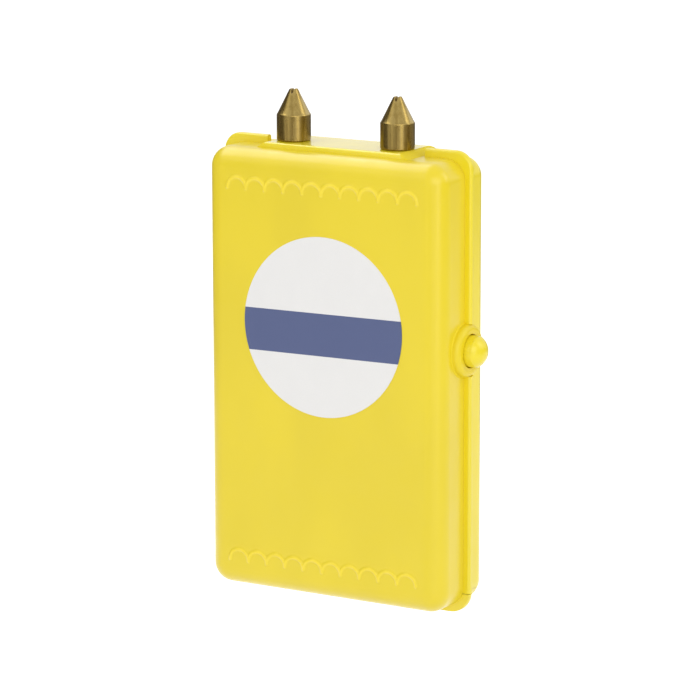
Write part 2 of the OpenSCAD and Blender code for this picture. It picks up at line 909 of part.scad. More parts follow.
module storage_capacitor() {
    half = capacitor_size / 2;
    color([0.70, 0.16, 0.12]) on_board(capacitor_place) {
        box([-half[0], 0, -half[2]], [half[0], capacitor_size[1], half[2]]);
    }
}

module power_transistor() {
    half = transistor_size[0] / 2;
    top = transistor_size[2] / 2;
    color(black) on_board(transistor_place) {
        box([-half, 0, -top], [half, transistor_size[1], top]);
        box([-half, 0, top], [half, transistor_tab_t, top + transistor_tab_h]);
    }
}

// Round part with a wire at each end, lying on the board
module axial_part(d, l) {
    total = l + 2 * wire_run;
    translate([0, d / 2, 0]) rotate([0, 90, 0]) {
        translate([0, 0, -l / 2]) cylinder(d = d, h = l);
        translate([0, 0, -total / 2]) cylinder(d = wire_d, h = total);
    }
    for (x = [-total / 2, total / 2]) translate([x, 0, 0]) {
        to_back() cylinder(d = wire_d, h = d / 2 + wire_d / 2);
    }
}

// Puts its children in the row of small round parts, from a place on
module in_axial_row(first, count) {
    for (i = [first : first + count - 1]) on_board(axial_place + [0, i * axial_pitch]) children();
}

module diodes() {
    color(black) in_axial_row(resistor_count, diode_count) axial_part(diode_d, diode_l);
}

module resistors() {
    color([0.80, 0.68, 0.48]) in_axial_row(0, resistor_count) axial_part(resistor_d, resistor_l);
}

// Place of a cell across the bay
function cell_x(i) = (i - (cell_count - 1) / 2) * cell_pitch;

// One cell; its raised end is up where up is true
module cell(i) {
    body = cell_len - nub_h;
    up = i % 2 == 0;
    reach = contact_t + contact_gap + cell_len;
    foot = up ? bay_top - reach : bay_bottom + reach;
    color([0.20, 0.22, 0.26]) translate([cell_x(i), cell_y, foot]) mirror([0, 0, up ? 0 : 1]) {
        cylinder(d = cell_d, h = body);
        cylinder(d = nub_d, h = cell_len);
    }
}

module cell_1() {
    cell(0);
}

module cell_2() {
    cell(1);
}

module cell_3() {
    cell(2);
}

module cell_4() {
    cell(3);
}

// Flat foot of a contact from one cell to another, on the end of the bay, with z away from the end
module contact_foot(from, to) {
    half_l = contact_l / 2;
    box([cell_x(from) - contact_w / 2, -half_l, 0], [cell_x(to) + contact_w / 2, half_l, contact_t]);
}

// Strip folded at one end into a foot and a leaf, which presses on a cell's flat end
module contact_leaf(i) {
    end = contact_l / 2;
    fold = contact_t - end;
    top = contact_h - contact_gap;
    rise = top - 2 * contact_t;
    heel = 2 * contact_t - contact_t * rise / (end - fold);
    translate([cell_x(i) - contact_w / 2, 0, 0]) rotate([90, 0, 90]) linear_extrude(contact_w) polygon([
        [-end, 0], [end, 0], [end, contact_t], [fold, contact_t],
        [end, top - contact_t], [end, top], [-end, heel]
    ]);
}

// Solder tab of a terminal, through the end of the bay
module contact_tab(i) {
    translate([cell_x(i), -contact_l / 2, 0]) {
        box([-tab_w / 2, 0, -bay_wall - tab_l], [tab_w / 2, contact_t, contact_t]);
    }
}

// Stands a contact on the bay's top or bottom end
module on_bay_top() {
    translate([0, cell_y, bay_top]) mirror([0, 0, 1]) children();
}

module on_bay_bottom() {
    translate([0, cell_y, bay_bottom]) children();
}

module positive_terminal() {
    color(steel) on_bay_top() {
        contact_foot(0, 0);
        contact_tab(0);
    }
}

module negative_terminal() {
    color(steel) on_bay_top() {
        contact_foot(3, 3);
        contact_leaf(3);
        contact_tab(3);
    }
}

module upper_bridge() {
    color(steel) on_bay_top() {
        contact_foot(1, 2);
        contact_leaf(1);
    }
}

module lower_bridges() {
    color(steel) on_bay_bottom() for (i = [0, 2]) {
        contact_foot(i, i + 1);
        contact_leaf(i);
    }
}

// Routes of the leads inside the case
lead_d = 1.6;
lead_sides = 8;
lead_steps = 4;
// Gap between a lead's end and the piece that it is joined to
lead_gap = 0.4;
core_top = over_board(transformer_place, transformer_y) + [0, 0, core_h / 2 + lead_gap];
tag_end = [post_spread / 2 - tag_len + lead_d, parting_y, tag_z - lead_gap];
tag_end_left = [-tag_end[0], tag_end[1], tag_end[2]];
terminal_y = cell_y - contact_l / 2 - lead_d / 2 - contact_gap;
terminal_z = bay_roof + tab_l / 2;
positive_tab = [cell_x(0), terminal_y, terminal_z];
negative_tab = [cell_x(cell_count - 1), terminal_y, terminal_z];
positive_pad = over_board(positive_pad_place, lead_d / 2 + lead_gap);
negative_pad = over_board(negative_pad_place, lead_d / 2 + lead_gap);
electrode_lead_left_route = [
    core_top + [-4, 0, 0], core_top + [-4, 0, 5], core_top + [-3, 0, 10],
    tag_end_left + [-4, 0, -10], tag_end_left + [-0.5, 0, -5], tag_end_left
];
electrode_lead_right_route = [
    core_top + [4, 0, 0], core_top + [4, 0, 5], core_top + [7, 0, 10],
    tag_end + [-7, 0, -10], tag_end + [-1, 0, -5], tag_end
];
battery_lead_positive_route = [
    positive_tab, positive_tab + [-2.8, -0.6, 1.9], positive_pad + [0.4, 1.4, -6], positive_pad
];
battery_lead_negative_route = [
    negative_tab, negative_tab + [-1.7, -0.6, 2.5], negative_pad + [5, 1.4, -1.8], negative_pad
];

// One lead along its route
module lead(route) {
    tube(smooth_route(route, lead_steps), lead_d / 2, lead_sides, [0.3, 1, -0.2]);
}

module electrode_lead_left() {
    color("crimson") lead(electrode_lead_left_route);
}

module electrode_lead_right() {
    color("crimson") lead(electrode_lead_right_route);
}

module battery_lead_positive() {
    color("crimson") lead(battery_lead_positive_route);
}

module battery_lead_negative() {
    color(black) lead(battery_lead_negative_route);
}

// Screw with a pan head and a cross recess, drawn with the head up and the shank below
module screw(d, l, head_d, head_h) {
    recess_w = head_d / 6;
    recess_l = head_d * 2 / 3;
    difference() {
        union() {
            translate([0, 0, -l]) cylinder(d = d, h = l);
            cylinder(d = head_d, h = head_h);
        }
        for (turn = [0, 90]) rotate([0, 0, turn]) {
            box([-recess_l / 2, -recess_w / 2, head_h / 2], [recess_l / 2, recess_w / 2, head_h + overrun]);
        }
    }
}

module case_screws() {
    color(steel) at_case_screws() translate([0, -screw_seat, 0]) {
        to_back() screw(screw_d, screw_len, screw_head_d, screw_head_h);
    }
}

module board_screws() {
    color(steel) at_board_screws() translate([0, board_y, 0]) {
        to_back() screw(board_screw_d, board_screw_len, board_screw_head_d, board_screw_head_h);
    }
}

front_cover();
rear_tray();
battery_cover();
label();
electrode_block();
electrode_left();
electrode_right();
electrode_nuts();
solder_tags();
button_collar();
push_button();
button_spring();
switch_body();
switch_plunger();
circuit_board();
transformer_core();
transformer_bobbin();
transformer_winding();
storage_capacitor();
power_transistor();
diodes();
resistors();
cell_1();
cell_2();
cell_3();
cell_4();
positive_terminal();
negative_terminal();
upper_bridge();
lower_bridges();
electrode_lead_left();
electrode_lead_right();
battery_lead_positive();
battery_lead_negative();
case_screws();
board_screws();
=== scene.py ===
"""Looks of the hand-held livestock prodder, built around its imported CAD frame.

Lengths are written in millimetres and turned to metres by MM; panels and lamps are placed in metres.
X points to the button side, Y to the back and Z up.
"""

import json
import math

import bmesh
import bpy
from mathutils import Matrix, Vector


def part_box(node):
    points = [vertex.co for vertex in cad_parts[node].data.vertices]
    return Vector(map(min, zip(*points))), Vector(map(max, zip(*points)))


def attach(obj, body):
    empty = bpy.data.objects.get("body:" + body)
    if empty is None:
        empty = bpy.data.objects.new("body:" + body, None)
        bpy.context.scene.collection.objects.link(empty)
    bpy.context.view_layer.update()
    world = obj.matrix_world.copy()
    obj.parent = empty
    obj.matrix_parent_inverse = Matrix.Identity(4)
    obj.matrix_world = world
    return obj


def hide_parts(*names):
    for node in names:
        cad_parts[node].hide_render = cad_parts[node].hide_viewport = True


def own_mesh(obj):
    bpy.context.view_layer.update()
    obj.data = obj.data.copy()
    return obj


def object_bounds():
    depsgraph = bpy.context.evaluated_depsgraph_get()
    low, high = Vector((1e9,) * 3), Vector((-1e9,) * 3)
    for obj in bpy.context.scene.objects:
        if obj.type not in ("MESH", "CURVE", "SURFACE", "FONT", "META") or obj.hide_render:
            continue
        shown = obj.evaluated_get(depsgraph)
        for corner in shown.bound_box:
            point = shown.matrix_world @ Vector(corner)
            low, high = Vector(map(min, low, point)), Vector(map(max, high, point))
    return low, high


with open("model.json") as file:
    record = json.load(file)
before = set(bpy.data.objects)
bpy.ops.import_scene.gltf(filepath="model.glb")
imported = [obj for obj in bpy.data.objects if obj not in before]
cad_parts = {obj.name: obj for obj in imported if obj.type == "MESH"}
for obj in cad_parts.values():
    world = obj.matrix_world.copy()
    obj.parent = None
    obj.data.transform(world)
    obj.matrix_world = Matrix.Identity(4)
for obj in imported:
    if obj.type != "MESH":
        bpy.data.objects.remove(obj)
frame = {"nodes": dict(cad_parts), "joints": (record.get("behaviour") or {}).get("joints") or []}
cad_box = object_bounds()
MM = 0.001
RIGHT = Vector((1, 0, 0))
BACK = Vector((0, 1, 0))
UP = Vector((0, 0, 1))


# Places taken from the frame

front_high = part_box("front_cover")[1]
tray_low, tray_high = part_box("rear_tray")
label_low, label_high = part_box("label")
block_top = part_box("electrode_block")[1].z
collar_low, collar_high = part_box("button_collar")
collar_radius = (collar_high.z - collar_low.z) / 2
button_low, button_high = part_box("push_button")
button_axis = Vector((0, (button_low.y + button_high.y) / 2, (button_low.z + button_high.z) / 2))
parting_y = button_axis.y
travels = {joint["name"]: joint["range_m"][1] for joint in frame["joints"]}
lowest = cad_box[0].z - travels["cover_slide"]


# Shader helpers

# Numbers of a mix node's colour sockets
COLOUR_A = 6
COLOUR_B = 7
COLOUR_RESULT = 2


class Shader:
    """A material's node tree, with positions in millimetres."""

    def __init__(self, name):
        self.material = bpy.data.materials.new(name)
        self.material.use_nodes = True
        self.tree = self.material.node_tree
        self.bsdf = self.tree.nodes["Principled BSDF"]
        place = self.tree.nodes.new("ShaderNodeTexCoord").outputs["Object"]
        links = {0: place, "Scale": 1 / MM}
        self.place = self.node("ShaderNodeVectorMath", links, operation="SCALE").outputs[0]

    def node(self, kind, links=None, **values):
        """A new node with its sockets set or linked by name or number."""
        made = self.tree.nodes.new(kind)
        for name, value in values.items():
            setattr(made, name, value)
        for socket, value in (links or {}).items():
            if isinstance(value, bpy.types.NodeSocket):
                self.tree.links.new(value, made.inputs[socket])
            else:
                made.inputs[socket].default_value = value
        return made

    def axis(self, name):
        """One coordinate of the place, in millimetres."""
        return self.node("ShaderNodeSeparateXYZ", {0: self.place}).outputs[name]

    def noise(self, size, detail=3.0, roughness=0.5, stretch=None):
        """Noise whose main features are about size millimetres across."""
        place = self.place
        if stretch is not None:
            links = {0: place, 1: stretch}
            place = self.node("ShaderNodeVectorMath", links, operation="MULTIPLY").outputs[0]
        links = {"Vector": place, "Scale": 1 / size, "Detail": detail, "Roughness": roughness}
        return self.node("ShaderNodeTexNoise", links).outputs["Fac"]

    def remap(self, value, low, high, to_low=0.0, to_high=1.0):
        """A value's range from low to high, turned softly into another range."""
        links = {"Value": value, "From Min": low, "From Max": high, "To Min": to_low, "To Max": to_high}
        return self.node("ShaderNodeMapRange", links, interpolation_type="SMOOTHSTEP").outputs["Result"]

    def mix(self, share, first, second, strength=None):
        """Colour between two colours, each a socket or three numbers; a strength weakens the second."""
        if strength is not None:
            share = self.node("ShaderNodeMath", {0: share, 1: strength}, operation="MULTIPLY").outputs[0]
        links = {"Factor": share}
        for socket, colour in ((COLOUR_A, first), (COLOUR_B, second)):
            links[socket] = colour if isinstance(colour, bpy.types.NodeSocket) else (*colour, 1)
        return self.node("ShaderNodeMix", links, data_type="RGBA").outputs[COLOUR_RESULT]

    def bump(self, height, depth, under=None):
        """Normal with a relief of up to depth millimetres, on top of another relief."""
        links = {"Height": height, "Distance": depth * MM, "Strength": 1.0}
        if under is not None:
            links["Normal"] = under
        return self.node("ShaderNodeBump", links).outputs["Normal"]

    def edges(self, low=0.51, high=0.60):
        """Share that is high on outer edges."""
        pointed = self.node("ShaderNodeNewGeometry").outputs["Pointiness"]
        return self.remap(pointed, low, high)

    def finish(self, **sockets):
        """Sets or links the shader's sockets, written with underscores, and gives the material."""
        for name, value in sockets.items():
            socket = self.bsdf.inputs[name.replace("_", " ")]
            if isinstance(value, bpy.types.NodeSocket):
                self.tree.links.new(value, socket)
            else:
                socket.default_value = (*value, 1) if socket.type == "RGBA" else value
        return self.material


def tinted(colour, share, lift=0.0):
    """A colour made darker or lighter by a share, and paler by a lift."""
    return tuple(min(1.0, c * share + lift) for c in colour)


# Materials

# Ranges of a noise's values: its steep middle, and nearly all of it
MIDDLE = (0.35, 0.65)
SPAN = (0.3, 0.7)

MOTTLE = 0.05
WAVINESS = 0.05
RUBBING = 0.05
COAT_ROUGHNESS = 0.28


def moulded_plastic(name, colour, roughness=0.34, peel=0.006, edge_wear_and_highlight=0.25, gloss=0.0, raised=None):
    """Moulded plastic: faint flow marks, a fine skin, slow waves from shrinkage and paler edges, partly
    wear and partly a painted highlight.

    Where raised gives a depth and a height, what stands out in front of that depth is painted paler, as
    a painted highlight.
    """
    s = Shader(name)
    darker = tinted(colour, 1 - MOTTLE)
    flow = s.remap(s.noise(size=26, detail=2, roughness=0.4, stretch=(1, 1, 0.45)), *MIDDLE)
    shade = s.mix(flow, darker, colour)
    specks = s.remap(s.noise(size=0.5, detail=2), low=0.60, high=0.75)
    shade = s.mix(specks, shade, darker, strength=0.10)
    # Convex edges painted paler: partly wear, partly a painted highlight.
    shade = s.mix(s.edges(), shade, tinted(colour, share=0.9, lift=0.08), strength=edge_wear_and_highlight)
    # Raised beads painted paler: a painted highlight.
    if raised is not None:
        depth, height = raised
        bead_highlight_mask = s.remap(s.axis("Y"), depth, depth - height)
        shade = s.mix(bead_highlight_mask, shade, tinted(colour, share=1.08, lift=0.015))
    rubbed = s.noise(size=6, detail=4, roughness=0.6)
    skin = s.bump(s.noise(size=0.35, detail=2), peel)
    waves = s.bump(s.noise(size=22, detail=1, roughness=0.3), WAVINESS, under=skin)
    return s.finish(
        Base_Color=shade,
        Roughness=s.remap(rubbed, *SPAN, to_low=roughness - RUBBING, to_high=roughness + RUBBING),
        Normal=waves,
        Coat_Weight=gloss,
        Coat_Roughness=COAT_ROUGHNESS,
    )


def printed_film(name, colour):
    """Printed label film: a soft ink mottle and the faint orange-peel skin of its clear coat."""
    s = Shader(name)
    ink = s.remap(s.noise(size=0.25, roughness=0.6), *MIDDLE)
    cloud = s.remap(s.noise(size=9, detail=2), *MIDDLE)
    shade = s.mix(ink, colour, tinted(colour, share=0.95), strength=0.5)
    shade = s.mix(cloud, shade, tinted(colour, share=0.97), strength=0.5)
    return s.finish(
        Base_Color=shade,
        Roughness=s.remap(s.noise(size=3), *SPAN, to_low=0.36, to_high=0.46),
        Normal=s.bump(s.noise(size=0.6, detail=2), depth=0.004),
    )


BRASS_BRIGHT = (0.372, 0.27, 0.088)
BRASS_DULL = (0.31, 0.217, 0.062)
BRASS_TARNISH = (0.18, 0.106, 0.024)
# Pale edge colour: partly wear, partly a painted highlight.
BRASS_WORN_GLINT = (0.66, 0.52, 0.24)


def turned_brass(name):
    """Polished brass: streaks along it, faint turning rings, spots of tarnish and bright edges, partly
    wear and partly a painted highlight.
    """
    s = Shader(name)
    rings = s.noise(size=0.22, detail=4, roughness=0.7, stretch=(0.02, 0.02, 1))
    streaks = s.noise(size=1.3, detail=2, stretch=(1, 1, 0.05))
    tarnish = s.remap(s.noise(size=2.6, detail=5, roughness=0.65), low=0.48, high=0.72)
    shade = s.mix(s.remap(streaks, *MIDDLE), BRASS_DULL, BRASS_BRIGHT)
    shade = s.mix(tarnish, shade, BRASS_TARNISH, strength=0.22)
    # Edges painted pale: partly wear, partly a painted highlight.
    shade = s.mix(s.edges(low=0.52, high=0.62), shade, BRASS_WORN_GLINT, strength=0.5)
    return s.finish(
        Base_Color=shade,
        Metallic=1.0,
        Roughness=s.remap(streaks, *SPAN, to_low=0.24, to_high=0.30),
        Normal=s.bump(streaks, depth=0.003, under=s.bump(rings, depth=0.0004)),
    )


def plated_steel(name, colour, roughness):
    """Zinc-plated steel with drawn lines and a cloudy bloom."""
    s = Shader(name)
    cloud = s.remap(s.noise(size=1.8, detail=4, roughness=0.6), low=0.35, high=0.7)
    lines = s.noise(size=0.18, roughness=0.6, stretch=(1, 1, 0.08))
    return s.finish(
        Base_Color=s.mix(cloud, colour, tinted(colour, share=0.8)),
        Metallic=1.0,
        Roughness=s.remap(lines, *SPAN, to_low=roughness - 0.07, to_high=roughness + 0.08),
        Normal=s.bump(lines, depth=0.006),
    )


BOARD_GREEN = (0.012, 0.10, 0.040)
TRACK_GREEN = (0.030, 0.17, 0.070)
SPECK_GREEN = (0.02, 0.12, 0.05)


def solder_mask(name):
    """Green board: rows of fine tracks under a glossy lacquer."""
    s = Shader(name)
    wave = {"Vector": s.place, "Scale": 0.16, "Distortion": 6.0, "Detail": 1.0, "Detail Scale": 0.25}
    bands = s.node("ShaderNodeTexWave", wave, bands_direction="X").outputs["Fac"]
    tracks = s.remap(bands, low=0.55, high=0.65)
    specks = s.remap(s.noise(size=0.4, detail=2), low=0.55, high=0.8)
    shade = s.mix(tracks, BOARD_GREEN, TRACK_GREEN)
    shade = s.mix(specks, shade, SPECK_GREEN)
    return s.finish(Base_Color=shade, Roughness=0.28, Normal=s.bump(tracks, depth=0.03))


FERRITE_DARK = (0.035, 0.035, 0.038)
FERRITE_GRAIN = (0.10, 0.10, 0.11)


def ferrite(name):
    """Sintered ferrite: dark and grainy."""
    s = Shader(name)
    grain = s.noise(size=0.22, detail=4, roughness=0.7)
    return s.finish(
        Base_Color=s.mix(s.remap(grain, low=0.45, high=0.75), FERRITE_DARK, FERRITE_GRAIN),
        Roughness=s.remap(grain, *SPAN, to_low=0.45, to_high=0.65),
        Normal=s.bump(grain, depth=0.04),
    )


COPPER_BRIGHT = (0.55, 0.20, 0.06)
COPPER_VARNISHED = (0.30, 0.09, 0.025)


def enamelled_copper(name):
    """Enamelled winding wire, with darker clouds of varnish."""
    s = Shader(name)
    varnish = s.remap(s.noise(size=1.6, detail=4, roughness=0.6), low=0.4, high=0.7)
    return s.finish(
        Base_Color=s.mix(varnish, COPPER_BRIGHT, COPPER_VARNISHED),
        Metallic=0.9,
        Roughness=0.30,
        Normal=s.bump(s.noise(size=0.3, detail=2), depth=0.01),
    )


def lacquer(name, colour, roughness):
    """Dipped lacquer or printed shrink jacket, with runs and a little dust."""
    s = Shader(name)
    runs = s.remap(s.noise(size=3, stretch=(1, 1, 0.3)), *MIDDLE)
    dust = s.remap(s.noise(size=0.3), low=0.62, high=0.8)
    shade = s.mix(runs, colour, tinted(colour, share=0.82))
    shade = s.mix(dust, shade, tinted(colour, share=1, lift=0.15), strength=0.15)
    return s.finish(
        Base_Color=shade,
        Roughness=s.remap(s.noise(size=1.2), *SPAN, to_low=roughness - 0.06, to_high=roughness + 0.06),
        Normal=s.bump(s.noise(size=1.0, detail=2), depth=0.01),
    )


def insulation(name, colour):
    """Soft wire insulation with a matt bloom."""
    s = Shader(name)
    bloom = s.remap(s.noise(size=1.5, detail=4, roughness=0.6), low=0.4, high=0.75)
    return s.finish(
        Base_Color=s.mix(bloom, colour, tinted(colour, share=0.8, lift=0.06), strength=0.3),
        Roughness=s.remap(bloom, low=0.0, high=1.0, to_low=0.38, to_high=0.52),
        Normal=s.bump(s.noise(size=0.4), depth=0.012),
    )


YELLOW = (0.84, 0.66, 0.008)
# Lighter copy of the case yellow, for the rear half, its cover and the electrode block: painted light
# that brightens the rim.
LIT_REAR_YELLOW = (0.885, 0.728, 0.012)
BUTTON_YELLOW = (0.90, 0.735, 0.014)
BLACK = (0.028, 0.028, 0.032)
RED = (0.45, 0.030, 0.022)
CREAM = (0.62, 0.57, 0.45)
FILM_WHITE = (0.84, 0.83, 0.815)
FILM_BLUE = (0.085, 0.112, 0.245)
ZINC_GREY = (0.60, 0.61, 0.63)
SPRING_GREY = (0.50, 0.51, 0.53)
RESISTOR_TAN = (0.55, 0.38, 0.17)
JACKET_BLACK = (0.030, 0.033, 0.045)
JACKET_GOLD = (0.48, 0.30, 0.08)
WIRE_RED = (0.42, 0.020, 0.018)
WIRE_BLACK = (0.020, 0.020, 0.022)

BEAD_HEIGHT = 0.36 * MM
front_beads = (label_high.y / MM, BEAD_HEIGHT / MM)
case_plastic = moulded_plastic("case_plastic_skin", YELLOW, gloss=0.4, raised=front_beads)
# Rear half and cover in the lighter yellow: painted light on the rim and sides.
lit_rear_plastic = moulded_plastic("rear_plastic_skin", LIT_REAR_YELLOW, gloss=0.45)
block_plastic = moulded_plastic("block_plastic_skin", LIT_REAR_YELLOW, roughness=0.16, gloss=0.5)
button_plastic = moulded_plastic("button_plastic_skin", BUTTON_YELLOW, roughness=0.30, gloss=0.3)
collar_plastic = moulded_plastic("collar_plastic_skin", YELLOW, roughness=0.45, gloss=0.15)
dull_plastic = moulded_plastic("dull_plastic_skin", YELLOW, roughness=0.7, edge_wear_and_highlight=0.0)
black_plastic = moulded_plastic("black_plastic_skin", BLACK, roughness=0.45, peel=0.012)
red_plastic = moulded_plastic("red_plastic_skin", RED, roughness=0.33)
bobbin_plastic = moulded_plastic("bobbin_plastic_skin", CREAM, roughness=0.42, peel=0.010)
white_film = printed_film("label_white_film", FILM_WHITE)
blue_film = printed_film("label_blue_film", FILM_BLUE)
brass = turned_brass("turned_brass")
steel = plated_steel("zinc_plated_steel", ZINC_GREY, roughness=0.32)
spring_steel = plated_steel("spring_steel", SPRING_GREY, roughness=0.26)
board_mask = solder_mask("board_solder_mask")
core_ferrite = ferrite("sintered_ferrite")
copper = enamelled_copper("enamelled_copper")
resistor_lacquer = lacquer("resistor_lacquer", RESISTOR_TAN, roughness=0.35)
black_jacket = lacquer("cell_jacket_black", JACKET_BLACK, roughness=0.28)
gold_jacket = lacquer("cell_jacket_gold", JACKET_GOLD, roughness=0.30)
red_insulation = insulation("lead_red_insulation", WIRE_RED)
black_insulation = insulation("lead_black_insulation", WIRE_BLACK)


# Mesh helpers

SHARP_ANGLE = math.radians(50)
SOFT_ANGLE = math.radians(32)
FLAT_ANGLE = math.radians(0.3)
WELD_REACH = 0.002 * MM
TINY = 0.004 * MM
SOFT_SEGMENTS = 3
ROUND_PROFILE = 0.5


def piece(name, bm, materials, body, nodes=(), origin=Vector()):
    """Turns a bmesh into a smooth piece that rides on a body and stands for its CAD nodes."""
    bmesh.ops.translate(bm, verts=bm.verts, vec=-origin)
    bmesh.ops.recalc_face_normals(bm, faces=bm.faces)
    for face in bm.faces:
        face.smooth = True
    for edge in bm.edges:
        edge.smooth = edge.calc_face_angle(0) < SHARP_ANGLE
    mesh = bpy.data.meshes.new(name)
    bm.to_mesh(mesh)
    bm.free()
    for material in materials:
        mesh.materials.append(material)
    made = bpy.data.objects.new(name, mesh)
    made.location = origin
    bpy.context.scene.collection.objects.link(made)
    even = made.modifiers.new("even_normals", "WEIGHTED_NORMAL")
    even.keep_sharp = True
    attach(made, body)
    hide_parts(*nodes)
    return made


def solid_of(node):
    """A CAD node's solid as a closed bmesh, with each flat side as one face."""
    bm = bmesh.new()
    bm.from_mesh(frame["nodes"][node].data)
    bmesh.ops.remove_doubles(bm, verts=bm.verts, dist=WELD_REACH)
    bmesh.ops.dissolve_limit(bm, angle_limit=FLAT_ANGLE, verts=bm.verts, edges=bm.edges)
    return bm


def soften(bm, width, sharp_angle=SOFT_ANGLE, segments=SOFT_SEGMENTS, keep=lambda edge: False):
    """Rounds every sharp edge by a width, apart from those to keep."""
    sharp = [e for e in bm.edges if e.is_manifold and e.calc_face_angle(0) > sharp_angle and not keep(e)]
    bmesh.ops.bevel(
        bm,
        geom=sharp,
        offset=width,
        offset_type="OFFSET",
        segments=segments,
        profile=ROUND_PROFILE,
        affect="EDGES",
    )
    return bm


def softened(node, width, material, body, slot, **options):
    """A CAD node's shape with rounded edges, in its place."""
    bm = soften(solid_of(node), width, **options)
    return piece(f"{node}_skin", bm, [material], body, [node])


def add_rings(bm, rings, closed=False):
    """Joins rings of points, each a closed loop, into a skin, with flat ends unless it is closed."""
    loops = [[bm.verts.new(point) for point in ring] for ring in rings]
    pairs = list(zip(loops, loops[1:]))
    if closed:
        pairs.append((loops[-1], loops[0]))
    for low, high in pairs:
        count = len(low)
        for i in range(count):
            j = (i + 1) % count
            bm.faces.new((low[i], low[j], high[j], high[i]))
    if not closed:
        bm.faces.new(reversed(loops[0]))
        bm.faces.new(loops[-1])


def circle(centre, radius, first, second, count):
    """Points round a centre, in the plane of two directions."""
    turns = [2 * math.pi * i / count for i in range(count)]
    return [centre + radius * (math.cos(t) * first + math.sin(t) * second) for t in turns]


def tube_rings(path, radius, sides):
    """Rings of a tube along a path, carried along it without twist."""
    ways = []
    for i in range(len(path)):
        before, after = path[max(i - 1, 0)], path[min(i + 1, len(path) - 1)]
        ways.append((after - before).normalized())
    side = ways[0].orthogonal().normalized()
    rings = []
    for point, way in zip(path, ways):
        side = (side - side.dot(way) * way).normalized()
        rings.append(circle(point, radius, side, way.cross(side), sides))
    return rings


def smooth_path(points, steps):
    """Points of a smooth curve through a few points."""
    path = []
    for i in range(len(points) - 1):
        a, b = points[max(i - 1, 0)], points[i]
        c, d = points[i + 1], points[min(i + 2, len(points) - 1)]
        for step in range(steps):
            t = step / steps
            first = (c - a) * t
            second = (2 * a - 5 * b + 4 * c - d) * t**2
            third = (3 * b - a - 3 * c + d) * t**3
            path.append(b + (first + second + third) / 2)
    return [*path, points[-1]]


# Front cover

CASE_EDGE = 0.25 * MM
SEAM_REACH = 0.4 * MM
COVER_TOP = -61.6 * MM
COLLAR_REACH = 8.2 * MM


def at_seam(edge):
    """True for edges where the case's pieces meet, and for those under the button's collar."""
    middle = (edge.verts[0].co + edge.verts[1].co) / 2
    if abs(middle.y - parting_y) < SEAM_REACH or abs(middle.z - COVER_TOP) < SEAM_REACH:
        return True
    reach = math.hypot(middle.y - button_axis.y, middle.z - button_axis.z)
    return middle.x > front_high.x - SEAM_REACH and reach < COLLAR_REACH


BEAD_HALF_WIDTH = 0.85 * MM
ARCHES = 10
ROW_HALF_LENGTH = 31.65 * MM
ARCH_RADIUS = ROW_HALF_LENGTH / ARCHES
ROW_FEET = (54.035 * MM, -57.2 * MM)
ROW_MARGIN = 1.1 * MM
GRID_STEP = 0.14 * MM


def bead_height(across, up):
    """Height of the scallop beads at a place along a row and over its feet."""
    index = min(max(int((across + ROW_HALF_LENGTH) / (2 * ARCH_RADIUS)), 0), ARCHES - 1)
    nearest = BEAD_HALF_WIDTH
    for i in (index - 1, index, index + 1):
        if not 0 <= i < ARCHES:
            continue
        local = across + ROW_HALF_LENGTH - (2 * i + 1) * ARCH_RADIUS
        if up >= 0:
            away = abs(math.hypot(local, up) - ARCH_RADIUS)
        else:
            away = math.hypot(abs(local) - ARCH_RADIUS, up)
        nearest = min(nearest, away)
    return BEAD_HEIGHT * math.cos(math.pi / 2 * nearest / BEAD_HALF_WIDTH) ** 2


def add_bead_row(bm, foot, face_y):
    """Fine strip of the front face with one row of beads; gives its border edges."""
    reach = ROW_HALF_LENGTH + ROW_MARGIN
    low, high = -ROW_MARGIN, ARCH_RADIUS + ROW_MARGIN
    columns = round(2 * reach / GRID_STEP)
    rows = round((high - low) / GRID_STEP)
    grid = []
    for row in range(rows + 1):
        up = low + (high - low) * row / rows
        line = []
        for column in range(columns + 1):
            across = -reach + 2 * reach * column / columns
            line.append(bm.verts.new((across, face_y - bead_height(across, up), foot + up)))
        grid.append(line)
    faces = []
    for below, above in zip(grid, grid[1:]):
        for i in range(columns):
            faces.append(bm.faces.new((below[i], below[i + 1], above[i + 1], above[i])))
    return [edge for face in faces for edge in face.edges if edge.is_boundary]


def make_front_cover():
    """Front half of the case, whose flat face is made anew round two strips of beads."""
    bm = solid_of("front_cover")
    face_y = label_high.y
    old = [face for face in bm.faces if all(vert.co.y < face_y + TINY for vert in face.verts)]
    bmesh.ops.delete(bm, geom=old, context="FACES")
    soften(bm, CASE_EDGE, keep=at_seam)
    border = [edge for edge in bm.edges if edge.is_boundary]
    for foot in ROW_FEET:
        border += add_bead_row(bm, foot, face_y)
    bmesh.ops.triangle_fill(bm, edges=border, use_beauty=True, normal=-BACK)
    piece("front_cover_skin", bm, [case_plastic], "case", ["front_cover"])


# Rear tray and battery cover

PARTING_GAP = 0.02 * MM
SEAM_GAP = 0.16 * MM
COLLAR_GAP = 0.1 * MM
COLLAR_SINK = 0.03 * MM
SLIVER = 0.0005 * MM

# Corner radius of the rim in the solid, the one its top corners get, and the reach of its rounded edge
RIM_CORNER = 6.5 * MM
RIM_TOP_CORNER = 5.5 * MM
RIM_ROUND = 0.85 * MM


def fill_rim_corners(bm):
    """Gives the rim's two top corners a smaller radius than the solid has."""
    for vert in bm.verts:
        side = math.copysign(1, vert.co.x)
        corner = Vector((side * tray_high.x, vert.co.y, tray_high.z))
        inward = Vector((-side, 0, -1))
        out = vert.co - (corner + inward * RIM_CORNER)
        in_corner = out.x * side > -TINY and out.z > -TINY
        if in_corner and out.length > RIM_CORNER - RIM_ROUND:
            reach = out.length - RIM_CORNER + RIM_TOP_CORNER
            vert.co = corner + inward * RIM_TOP_CORNER + out.normalized() * reach


